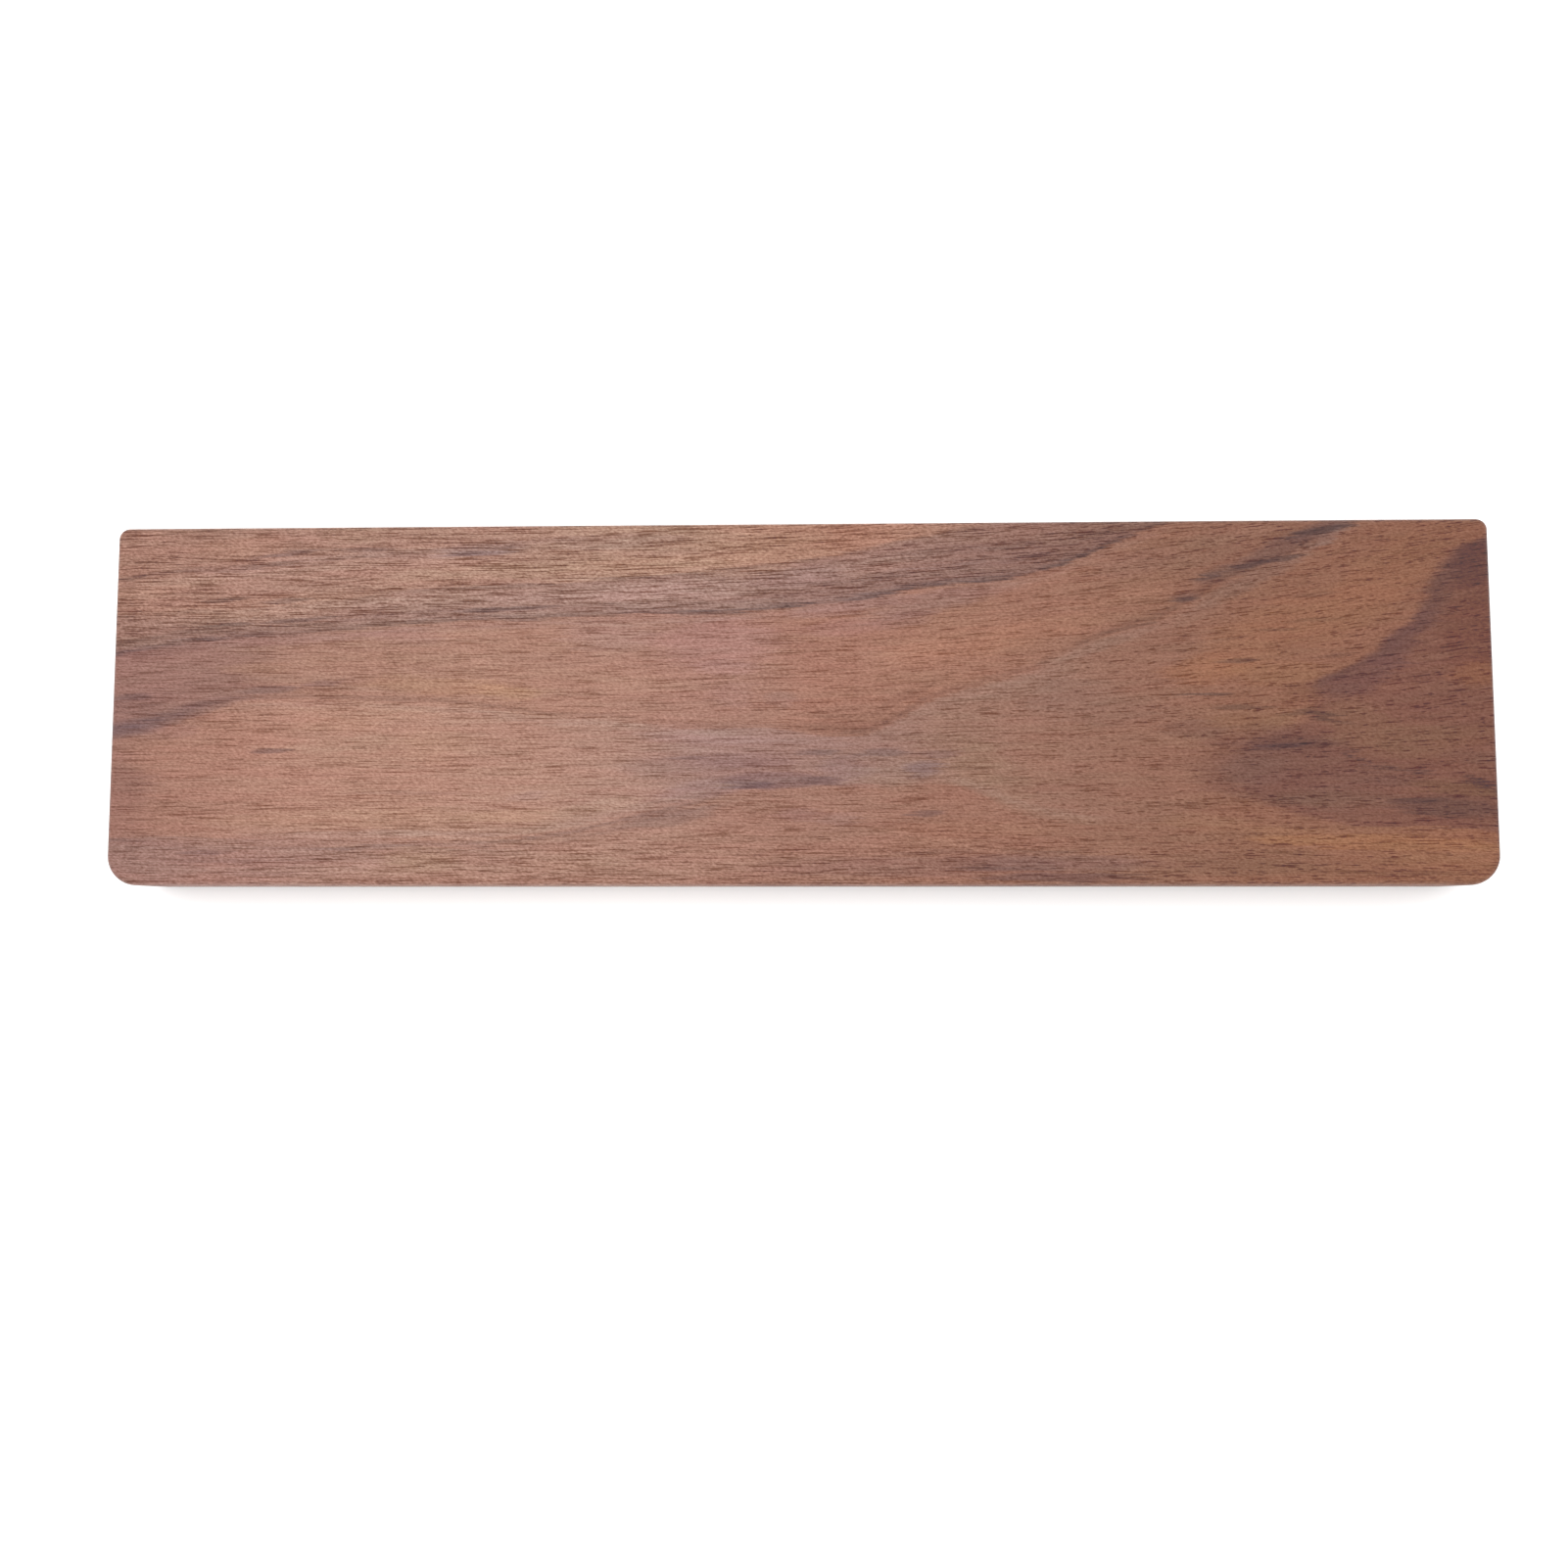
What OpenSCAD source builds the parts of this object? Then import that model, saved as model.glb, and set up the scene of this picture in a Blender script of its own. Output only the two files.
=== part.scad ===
// Wooden wrist rest for a compact keyboard: one solid walnut board with a
// gently sloping top, standing on six rubber feet that are bonded into
// shallow round recesses in its underside.
//
// Frame: +X to the right along the board, +Y to the rear, towards the
// keyboard, +Z up. The origin is on the desk, under the middle of the board.

/* [Board] */
// Length of the board, left to right
board_length = 300; // [240:1:450]
// Depth of the board, front to rear
board_depth = 79; // [60:1:110]
// Thickness of the wood at the rear edge
rear_thickness = 18; // [12:0.5:26]
// Thickness of the wood at the front edge
front_thickness = 14; // [8:0.5:26]

/* [Corners and edges] */
// Plan radius of the two front corners, beside the palms
front_corner_r = 6.5; // [3.5:0.5:14]
// Plan radius of the two rear corners, beside the keyboard
rear_corner_r = 2.5; // [2:0.1:10]
// Round-over along the top edge
top_round = 1.5; // [0.5:0.1:1.9]
// Softening along the bottom edge
bottom_round = 0.6; // [0.2:0.1:1.2]

/* [Feet] */
// Diameter of a rubber foot
foot_d = 12; // [8:0.5:16]
// Full thickness of a rubber foot
foot_t = 1.8; // [1.4:0.1:3]
// How far the feet stand out below the wood
foot_proud = 1; // [0.6:0.1:1.2]
// Rounding of the rim of a foot, at the desk
foot_rim = 0.4; // [0.1:0.1:0.5]
// Distance from the ends of the board to the middle of the end feet
foot_inset_x = 20; // [14:1:50]
// Distance from the front and rear edges to the middle of the feet
foot_inset_y = 12; // [10:0.5:20]

/* [Recesses and adhesive] */
// Gap all round between a foot and the wall of its recess
recess_gap = 0.3; // [0.1:0.1:1]
// Thickness of the double-sided adhesive disc
pad_t = 0.2; // [0.1:0.05:0.4]
// How much narrower the adhesive disc is than the foot, all round
pad_margin = 0.25; // [0:0.05:1]

/* [Hidden] */
half_length = board_length / 2;
half_depth = board_depth / 2;
slope = atan((rear_thickness - front_thickness) / board_depth);
plane_z = foot_proud + (rear_thickness + front_thickness) / 2; // top plane over the origin

foot_x = half_length - foot_inset_x;
foot_y = half_depth - foot_inset_y;
recess_d = foot_d + 2 * recess_gap;
recess_top = foot_t + pad_t; // height of the recess ceiling over the desk
overcut = 1; // how far the recess cutters start below the wood
pad_d = foot_d - 2 * pad_margin;

corner_fn = 64; // steps round a corner disc
edge_steps = 10; // steps up a rounded edge
round_fn = 96; // steps round a foot, recess or pad
rim_fn = 48; // steps round the section of a foot's rim

// The four corners: side in x, side in y, plan radius
CORNERS = [
    [-1, -1, front_corner_r],
    [ 1, -1, front_corner_r],
    [-1,  1, rear_corner_r],
    [ 1,  1, rear_corner_r]
];

// The six feet: name, place in x, side in y
FEET = [
    ["front_left",  -1, -1],
    ["front_middle", 0, -1],
    ["front_right",  1, -1],
    ["rear_left",   -1,  1],
    ["rear_middle",  0,  1],
    ["rear_right",   1,  1]
];

// The point at height z on the axis of one entry of FEET
function foot_axis(spot, z) = [spot[1] * foot_x, spot[2] * foot_y, z];

// A disc whose thickness is also the radius of its rounded rim, with its
// flat face at z = 0; up = 1 puts that face at its top, -1 at its bottom.
module rounded_disc(radius, thickness, up) {
    rotate_extrude($fn = corner_fn)
        polygon(concat(
            [[0, -up * thickness]],
            [for (i = [0 : edge_steps])
                let (angle = 90 * i / edge_steps)
                [radius - thickness + thickness * cos(angle),
                 up * (thickness * sin(angle) - thickness)]],
            [[0, 0]]
        ));
}

// The wood before its recesses are cut. The bottom is level and the top
// slopes down to the front; both have rounded edges, and the walls between
// them are upright. The top discs move forward a little, because tilting
// them about the top plane carries their rims back.
module board_blank() {
    hull() {
        for (corner = CORNERS)
            translate([corner[0] * (half_length - corner[2]),
                       corner[1] * (half_depth - corner[2]),
                       foot_proud])
                rounded_disc(corner[2], bottom_round, up = -1);
        translate([0, 0, plane_z])
            rotate([slope, 0, 0])
                for (corner = CORNERS)
                    translate([corner[0] * (half_length - corner[2]),
                               corner[1] * (half_depth / cos(slope) - corner[2])
                                   - top_round * tan(slope),
                               0])
                        rounded_disc(corner[2], top_round, up = 1);
    }
}

// The solid walnut board, with a shallow round recess for each foot
module board() {
    color([0.46, 0.29, 0.22])
    difference() {
        board_blank();
        for (spot = FEET)
            translate(foot_axis(spot, foot_proud - overcut))
                cylinder(d = recess_d, h = recess_top - foot_proud + overcut, $fn = round_fn);
    }
}

// One rubber foot, its rim rounded where it meets the desk
module foot(spot) {
    color([0.09, 0.09, 0.095])
    translate(foot_axis(spot, 0))
        rotate_extrude($fn = round_fn)
            union() {
                square([foot_d / 2 - foot_rim, foot_t]);
                translate([0, foot_rim])
                    square([foot_d / 2, foot_t - foot_rim]);
                translate([foot_d / 2 - foot_rim, foot_rim])
                    circle(r = foot_rim, $fn = rim_fn);
            }
}

// The double-sided adhesive disc between a foot and the ceiling of its recess
module pad(spot) {
    color([0.86, 0.84, 0.78])
    translate(foot_axis(spot, foot_t))
        cylinder(d = pad_d, h = pad_t, $fn = round_fn);
}

board();
foot(FEET[0]);  // foot_front_left
foot(FEET[1]);  // foot_front_middle
foot(FEET[2]);  // foot_front_right
foot(FEET[3]);  // foot_rear_left
foot(FEET[4]);  // foot_rear_middle
foot(FEET[5]);  // foot_rear_right
pad(FEET[0]);  // pad_front_left
pad(FEET[1]);  // pad_front_middle
pad(FEET[2]);  // pad_front_right
pad(FEET[3]);  // pad_rear_left
pad(FEET[4]);  // pad_rear_middle
pad(FEET[5]);  // pad_rear_right
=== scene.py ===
"""A walnut rest for a keyboard, on six rubber feet held by adhesive pads.

The board is long in x and centred on the origin in x and y. Its front edge
faces -y and is thinner; its rear edge faces +y, towards the keyboard; +z is up.
Lengths are millimetres until a mesh, light or camera turns them into metres.
"""
import math

import bpy
from mathutils import Matrix, Vector


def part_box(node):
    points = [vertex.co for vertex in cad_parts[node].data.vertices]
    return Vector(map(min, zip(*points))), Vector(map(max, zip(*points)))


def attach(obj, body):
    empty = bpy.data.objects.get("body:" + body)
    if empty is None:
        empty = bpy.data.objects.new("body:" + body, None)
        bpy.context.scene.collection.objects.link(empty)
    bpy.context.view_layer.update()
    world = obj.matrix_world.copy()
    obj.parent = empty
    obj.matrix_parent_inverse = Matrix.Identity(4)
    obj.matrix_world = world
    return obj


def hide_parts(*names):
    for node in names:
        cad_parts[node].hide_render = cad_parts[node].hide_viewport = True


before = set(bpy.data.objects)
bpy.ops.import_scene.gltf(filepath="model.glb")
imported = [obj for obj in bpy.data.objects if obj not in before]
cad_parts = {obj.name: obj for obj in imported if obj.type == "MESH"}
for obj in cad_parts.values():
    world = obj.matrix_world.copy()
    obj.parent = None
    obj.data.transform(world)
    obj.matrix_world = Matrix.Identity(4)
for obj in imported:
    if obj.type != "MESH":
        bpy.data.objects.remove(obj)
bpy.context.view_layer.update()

MM = 0.001


def box_mm(node):
    low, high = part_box(node)
    return [v / MM for v in low], [v / MM for v in high]


# ---------------------------------------------------------------- sizes
BOARD_LOW, BOARD_HIGH = box_mm("board")
LENGTH = BOARD_HIGH[0] - BOARD_LOW[0]
DEPTH = BOARD_HIGH[1] - BOARD_LOW[1]
UNDERSIDE_Z = BOARD_LOW[2]
REAR_THICKNESS, FRONT_THICKNESS = 18.0, 14.0
FRONT_RADIUS, REAR_RADIUS = 6.5, 2.5      # plan radii of the corners
TOP_ROUND, BOTTOM_ROUND = 1.5, 0.6        # round-over above, softening below
SLOPE = math.atan((REAR_THICKNESS - FRONT_THICKNESS) / DEPTH)
TOP_Z = UNDERSIDE_Z + (REAR_THICKNESS + FRONT_THICKNESS) / 2   # top face at y = 0

FEET = [f"foot_{row}_{side}" for row in ("front", "rear") for side in ("left", "middle", "right")]
PADS = [name.replace("foot_", "pad_") for name in FEET]


def plan_center(node):
    low, high = box_mm(node)
    return (low[0] + high[0]) / 2, (low[1] + high[1]) / 2


FOOT_CENTERS = [plan_center(name) for name in FEET]
FOOT_X, FOOT_Y = (abs(v) for v in FOOT_CENTERS[0])
RECESS_RADIUS = 6.3
RECESS_CHAMFER = 0.15
RECESS_CEILING = box_mm(PADS[0])[1][2]

# grid of the top and bottom sheets
CORNER_CELLS = 12         # cells across a corner block
CORNER_BLOCK = 8.0        # size of a corner block
CORNER_STRAIGHT_CELLS = 4 # of which run straight before the corner's arc
SQUARE_CELLS = 12         # cells across the square round a recess
SQUARE_HALF = 7.7         # half the size of that square
ROUND_STEPS, WALL_STEPS, SOFTEN_STEPS = 8, 7, 5


# ---------------------------------------------------------------- board mesh
# One closed mesh: a top and a bottom sheet on a shared grid plan, whose outer
# ring follows the rounded outline, joined by the round-over, the walls and the
# softened bottom edge.
class MeshBuilder:
    def __init__(self):
        self.points = []
        self.faces = []

    def add(self, points):
        """Adds points and returns their indices."""
        first = len(self.points)
        self.points += points
        return list(range(first, len(self.points)))

    def bridge(self, loop, next_loop):
        count = len(loop)
        for m in range(count):
            n = (m + 1) % count
            self.faces.append((loop[m], next_loop[m], next_loop[n], loop[n]))


def corner_outline(radius, inset):
    """Outer side of a corner block, from the end wall round to the long wall,
    for a corner at the origin whose walls run along +x and +y."""
    steps = CORNER_STRAIGHT_CELLS
    arc_steps = 2 * (CORNER_CELLS - steps)
    straight = CORNER_BLOCK - radius
    outline = [(inset, CORNER_BLOCK - straight * i / steps) for i in range(steps)]
    for i in range(arc_steps + 1):
        angle = math.pi / 2 * i / arc_steps
        outline.append((radius - (radius - inset) * math.cos(angle),
                        radius - (radius - inset) * math.sin(angle)))
    outline += [(radius + straight * i / steps, inset) for i in range(1, steps + 1)]
    return outline


def corner_patch(radius, inset):
    """Points of a corner block, blended in from its four sides (Coons patch)."""
    size, cells = CORNER_BLOCK, CORNER_CELLS
    outline = corner_outline(radius, inset)

    def line(cell):
        return inset + (size - inset) * cell / cells

    patch = {}
    for u in range(cells + 1):
        for v in range(cells + 1):
            a, b = u / cells, v / cells
            left, right = outline[cells - v], (size, line(v))
            low, high = outline[cells + u], (line(u), size)
            near, far = outline[cells], (size, size)
            near_x, near_y = (size, inset), (inset, size)
            patch[u, v] = tuple(
                (1 - a) * left[k] + a * right[k] + (1 - b) * low[k] + b * high[k]
                - (1 - a) * (1 - b) * near[k] - a * (1 - b) * near_x[k]
                - (1 - a) * b * near_y[k] - a * b * far[k] for k in (0, 1))
    return patch


def grid_lines(start, spans):
    """Grid line places from start through spans of (end, cells)."""
    lines = [start]
    for end, cells in spans:
        lines += [start + (end - start) * i / cells for i in range(1, cells + 1)]
        start = end
    return lines


def sheet(inset, half_y, shift_y=0.0):
    """Grid (i, j) -> (x, y) of the board's outline moved in by inset."""
    half_x = LENGTH / 2
    block_x, block_y = half_x - CORNER_BLOCK, half_y - CORNER_BLOCK
    inner_y = FOOT_Y - SQUARE_HALF
    xs = grid_lines(-half_x + inset, [
        (-block_x, CORNER_CELLS), (-FOOT_X - SQUARE_HALF, 2),
        (-FOOT_X + SQUARE_HALF, SQUARE_CELLS), (-SQUARE_HALF, 38),
        (SQUARE_HALF, SQUARE_CELLS), (FOOT_X - SQUARE_HALF, 38),
        (FOOT_X + SQUARE_HALF, SQUARE_CELLS), (block_x, 2), (half_x - inset, CORNER_CELLS)])
    ys = grid_lines(-half_y + inset, [
        (-block_y, CORNER_CELLS), (-inner_y, 6), (inner_y, 14), (block_y, 6),
        (half_y - inset, CORNER_CELLS)])
    grid = {(i, j): (x, y + shift_y) for i, x in enumerate(xs) for j, y in enumerate(ys)}
    for side_y, radius in ((-1, FRONT_RADIUS), (1, REAR_RADIUS)):
        patch = corner_patch(radius, inset)
        for side_x in (-1, 1):
            for (u, v), (x, y) in patch.items():
                i = u if side_x < 0 else len(xs) - 1 - u
                j = v if side_y < 0 else len(ys) - 1 - v
                grid[i, j] = (side_x * (half_x - x), side_y * (half_y - y) + shift_y)
    return grid


def ring_of(i_low, i_high, j_low, j_high):
    """Grid keys round a block, anticlockwise seen from above."""
    return ([(i, j_low) for i in range(i_low, i_high)]
            + [(i_high, j) for j in range(j_low, j_high)]
            + [(i, j_high) for i in range(i_high, i_low, -1)]
            + [(i_low, j) for j in range(j_high, j_low, -1)])


def on_top(x, y, drop):
    """A point of the sloping top plane, lowered square to it by drop."""
    return (x, y * math.cos(SLOPE) + drop * math.sin(SLOPE),
            TOP_Z + y * math.sin(SLOPE) - drop * math.cos(SLOPE))


def recess_blocks(grid, cells_x, cells_y):
    """Grid index ranges (i low, i high, j low, j high) of the recess squares."""
    xs = [grid[i, cells_y // 2][0] for i in range(cells_x + 1)]
    ys = [grid[cells_x // 2, j][1] for j in range(cells_y + 1)]

    def nearest(lines, place):
        return min(range(len(lines)), key=lambda n: abs(lines[n] - place))

    return [(nearest(xs, x - SQUARE_HALF), nearest(xs, x + SQUARE_HALF),
             nearest(ys, y - SQUARE_HALF), nearest(ys, y + SQUARE_HALF))
            for x, y in FOOT_CENTERS]


def add_recess(mesh, square, loop, center):
    """Rings from the square in to the mouth, up the wall and over the ceiling."""
    cx, cy = center
    angles = [math.atan2(y - cy, x - cx) for x, y in square]
    mouth = RECESS_RADIUS + RECESS_CHAMFER
    rings = []
    for t in (0.35, 0.7):
        rings.append([(x + (cx + mouth * math.cos(angle) - x) * t,
                       y + (cy + mouth * math.sin(angle) - y) * t, UNDERSIDE_Z)
                      for (x, y), angle in zip(square, angles)])
    for radius, z in ((mouth, UNDERSIDE_Z),
                      (RECESS_RADIUS + RECESS_CHAMFER * 0.3, UNDERSIDE_Z + RECESS_CHAMFER * 0.3),
                      (RECESS_RADIUS, UNDERSIDE_Z + RECESS_CHAMFER),
                      (RECESS_RADIUS, (UNDERSIDE_Z + RECESS_CEILING) / 2),
                      (RECESS_RADIUS, RECESS_CEILING), (RECESS_RADIUS * 0.9, RECESS_CEILING),
                      (RECESS_RADIUS * 0.66, RECESS_CEILING),
                      (RECESS_RADIUS * 0.33, RECESS_CEILING)):
        rings.append([(cx + radius * math.cos(angle), cy + radius * math.sin(angle), z)
                      for angle in angles])
    for ring in rings:
        next_loop = mesh.add(ring)
        mesh.bridge(loop, next_loop)
        loop = next_loop
    middle, = mesh.add([(cx, cy, RECESS_CEILING)])
    for m in range(len(loop)):
        mesh.faces.append((loop[(m + 1) % len(loop)], loop[m], middle))


def board_mesh():
    mesh = MeshBuilder()
    half_y = DEPTH / 2

    def top_sheet(inset):
        return sheet(inset, half_y / math.cos(SLOPE), -TOP_ROUND * math.tan(SLOPE))

    plan = top_sheet(TOP_ROUND)
    cells_x, cells_y = max(plan)
    ring = ring_of(0, cells_x, 0, cells_y)
    top = dict(zip(plan, mesh.add([on_top(x, y, 0.0) for x, y in plan.values()])))
    for i in range(cells_x):
        for j in range(cells_y):
            mesh.faces.append((top[i, j], top[i + 1, j], top[i + 1, j + 1], top[i, j + 1]))
    loops = [[top[key] for key in ring]]

    for step in range(1, ROUND_STEPS + 1):
        angle = math.pi / 2 * step / ROUND_STEPS
        inset = TOP_ROUND - TOP_ROUND * math.sin(angle)
        drop = TOP_ROUND - TOP_ROUND * math.cos(angle)
        plan = top_sheet(inset)
        loops.append(mesh.add([on_top(*plan[key], drop) for key in ring]))

    # walls, level by level down to the softened bottom edge
    plan = sheet(0.0, half_y)
    wall_foot = UNDERSIDE_Z + BOTTOM_ROUND
    wall_top = [mesh.points[v] for v in loops[-1]]
    for step in range(1, WALL_STEPS + 1):
        t = step / WALL_STEPS
        loops.append(mesh.add([
            (x * (1 - t) + plan[key][0] * t, y * (1 - t) + plan[key][1] * t,
             z + (wall_foot - z) * t) for (x, y, z), key in zip(wall_top, ring)]))

    # the last step of the softening is the bottom sheet's own ring
    for step in range(1, SOFTEN_STEPS):
        angle = math.pi / 2 * step / SOFTEN_STEPS
        plan = sheet(BOTTOM_ROUND - BOTTOM_ROUND * math.cos(angle), half_y)
        z = wall_foot - BOTTOM_ROUND * math.sin(angle)
        loops.append(mesh.add([(*plan[key], z) for key in ring]))

    # bottom sheet, with an open square where each recess goes
    plan = sheet(BOTTOM_ROUND, half_y)
    blocks = recess_blocks(plan, cells_x, cells_y)
    kept = [(i, j) for i, j in plan
            if not any(b[0] < i < b[1] and b[2] < j < b[3] for b in blocks)]
    bottom = dict(zip(kept, mesh.add([(*plan[key], UNDERSIDE_Z) for key in kept])))
    for i in range(cells_x):
        for j in range(cells_y):
            if not any(b[0] <= i < b[1] and b[2] <= j < b[3] for b in blocks):
                mesh.faces.append((bottom[i, j], bottom[i, j + 1],
                                   bottom[i + 1, j + 1], bottom[i + 1, j]))
    loops.append([bottom[key] for key in ring])
    for loop, next_loop in zip(loops[:-1], loops[1:]):
        mesh.bridge(loop, next_loop)
    for block, center in zip(blocks, FOOT_CENTERS):
        keys = ring_of(*block)
        add_recess(mesh, [plan[key] for key in keys], [bottom[key] for key in keys], center)

    data = bpy.data.meshes.new("walnut_board")
    data.from_pydata([(x * MM, y * MM, z * MM) for x, y, z in mesh.points], [], mesh.faces)
    data.validate()
    data.update()
    return data


def smooth_by_angle(data, degrees):
    data.shade_smooth()
    limit = math.cos(math.radians(degrees))
    normals = {}
    for face in data.polygons:
        for key in face.edge_keys:
            normals.setdefault(key, []).append(face.normal.copy())
    for edge in data.edges:
        sides = normals.get(tuple(sorted(edge.vertices)), [])
        if len(sides) == 2 and sides[0].dot(sides[1]) < limit:
            edge.use_edge_sharp = True


# ---------------------------------------------------------------- node graphs
def lin(color):
    """An 8-bit sRGB colour as linear RGBA."""
    shares = [v / 255.0 for v in color]
    return (*(v / 12.92 if v <= 0.04045 else ((v + 0.055) / 1.055) ** 2.4 for v in shares), 1.0)


class Signal:
    """An output socket; arithmetic on it adds nodes to its graph."""

    def __init__(self, graph, socket):
        self.graph = graph
        self.socket = socket

    def __add__(self, other):
        return self.graph.math("ADD", self, other)

    def __radd__(self, other):
        return self.graph.math("ADD", other, self)

    def __sub__(self, other):
        return self.graph.math("SUBTRACT", self, other)

    def __rsub__(self, other):
        return self.graph.math("SUBTRACT", other, self)

    def __mul__(self, other):
        return self.graph.math("MULTIPLY", self, other)

    def __truediv__(self, other):
        return self.graph.math("DIVIDE", self, other)

    def muladd(self, factor, offset):
        return self.graph.math("MULTIPLY_ADD", self, factor, offset)

    def max(self, other):
        return self.graph.math("MAXIMUM", self, other)

    def min(self, other):
        return self.graph.math("MINIMUM", self, other)

    def clamp(self):
        return self.max(0.0).min(1.0)

    def abs(self):
        return self.graph.math("ABSOLUTE", self)

    def sqrt(self):
        return self.graph.math("SQRT", self)

    def ramp(self, start, end, to=(0.0, 1.0)):
        """A smooth step from to[0] at start to to[1] at end."""
        inputs = dict(enumerate((self, start, end, *to)))
        return self.graph.result("ShaderNodeMapRange", inputs,
                                 interpolation_type="SMOOTHSTEP", clamp=False)

    def between(self, at_0, at_1):
        return self.graph.result("ShaderNodeMix", {0: self, 2: at_0, 3: at_1},
                                 data_type="FLOAT")


class Graph:
    """Short calls for building a node tree."""

    def __init__(self, tree):
        self.tree = tree
        self.count = 0

    def put(self, socket, value):
        if isinstance(value, Signal):
            self.tree.links.new(value.socket, socket)
        else:
            socket.default_value = value

    def node(self, kind, inputs=None, **settings):
        node = self.tree.nodes.new(kind)
        node.location = (220 * (self.count % 24), -260 * (self.count // 24))
        self.count += 1
        for name, value in settings.items():
            setattr(node, name, value)
        for key, value in (inputs or {}).items():
            self.put(node.inputs[key], value)
        return node

    def result(self, kind, inputs, output=0, **settings):
        return Signal(self, self.node(kind, inputs, **settings).outputs[output])

    def outputs(self, kind):
        """A new node's outputs by name."""
        return {s.name: Signal(self, s) for s in self.node(kind).outputs}

    def math(self, operation, *values):
        return self.result("ShaderNodeMath", dict(enumerate(values)), operation=operation)

    def vector_math(self, operation, vector, other):
        return self.result("ShaderNodeVectorMath", {0: vector, 1: other}, operation=operation)

    def to_mm(self, vector):
        return self.result("ShaderNodeVectorMath", {0: vector, "Scale": 1 / MM},
                           operation="SCALE")

    def xyz(self, vector):
        node = self.node("ShaderNodeSeparateXYZ", {0: vector})
        return [Signal(self, socket) for socket in node.outputs]

    def vector(self, x, y, z):
        return self.result("ShaderNodeCombineXYZ", {0: x, 1: y, 2: z})

    def noise(self, vector, detail, roughness, scale=1.0):
        return self.result("ShaderNodeTexNoise", {"Vector": vector, "Scale": scale,
                                                  "Detail": detail, "Roughness": roughness},
                           output="Fac")

    def voronoi(self, vector, scale=1.0):
        """Distance to the nearest cell point, and that cell's colour."""
        node = self.node("ShaderNodeTexVoronoi", {"Vector": vector, "Scale": scale})
        return Signal(self, node.outputs["Distance"]), Signal(self, node.outputs["Color"])

    def mix(self, factor, color, other, blend="MIX"):
        return self.result("ShaderNodeMix", {0: factor, 6: color, 7: other}, output=2,
                           data_type="RGBA", blend_type=blend, clamp_factor=True)

    def color_ramp(self, value, stops):
        node = self.node("ShaderNodeValToRGB", {0: value})
        ramp = node.color_ramp
        ramp.interpolation = "EASE"
        ramp.elements.remove(ramp.elements[-1])
        ramp.elements[0].position, ramp.elements[0].color = stops[0]
        for position, color in stops[1:]:
            ramp.elements.new(position).color = color
        return Signal(self, node.outputs[0])

    def curve(self, value, points):
        """A curve of 0..1 over 0..1."""
        node = self.node("ShaderNodeFloatCurve", {"Value": value})
        mapping = node.mapping
        mapping.use_clip = False
        mapping.extend = "HORIZONTAL"
        stations = mapping.curves[0].points
        stations[0].location = points[0]
        stations[1].location = points[-1]
        for point in points[1:-1]:
            stations.new(*point)
        mapping.update()
        return Signal(self, node.outputs[0])

    def group(self, tree, **inputs):
        return self.result("ShaderNodeGroup", inputs, node_tree=tree)

    def surface(self, color, roughness, ior=1.5, specular=0.5, bump=None):
        """Material output; bump is (height, strength, distance in metres)."""
        inputs = {"Base Color": color, "Roughness": roughness, "IOR": ior,
                  "Specular IOR Level": specular}
        if bump:
            height, strength, distance = bump
            inputs["Normal"] = self.result("ShaderNodeBump", {
                "Strength": strength, "Distance": distance, "Height": height})
        shader = self.result("ShaderNodeBsdfPrincipled", inputs)
        self.node("ShaderNodeOutputMaterial", {"Surface": shader})


def new_material(name, graph_type=Graph):
    material = bpy.data.materials.new(name)
    material.use_nodes = True
    material.node_tree.nodes.clear()
    return material, graph_type(material.node_tree)


def new_group(name, floats, colors=()):
    """A group with a colour in, then floats and colours, and a colour out."""
    tree = bpy.data.node_groups.new(name, "ShaderNodeTree")
    sockets = [("col", "Color"), *((n, "Float") for n in floats), *((n, "Color") for n in colors)]
    for socket, kind in sockets:
        tree.interface.new_socket(name=socket, in_out="INPUT", socket_type="NodeSocket" + kind)
    tree.interface.new_socket(name="col", in_out="OUTPUT", socket_type="NodeSocketColor")
    graph = Graph(tree)
    return graph, graph.outputs("NodeGroupInput")


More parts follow.
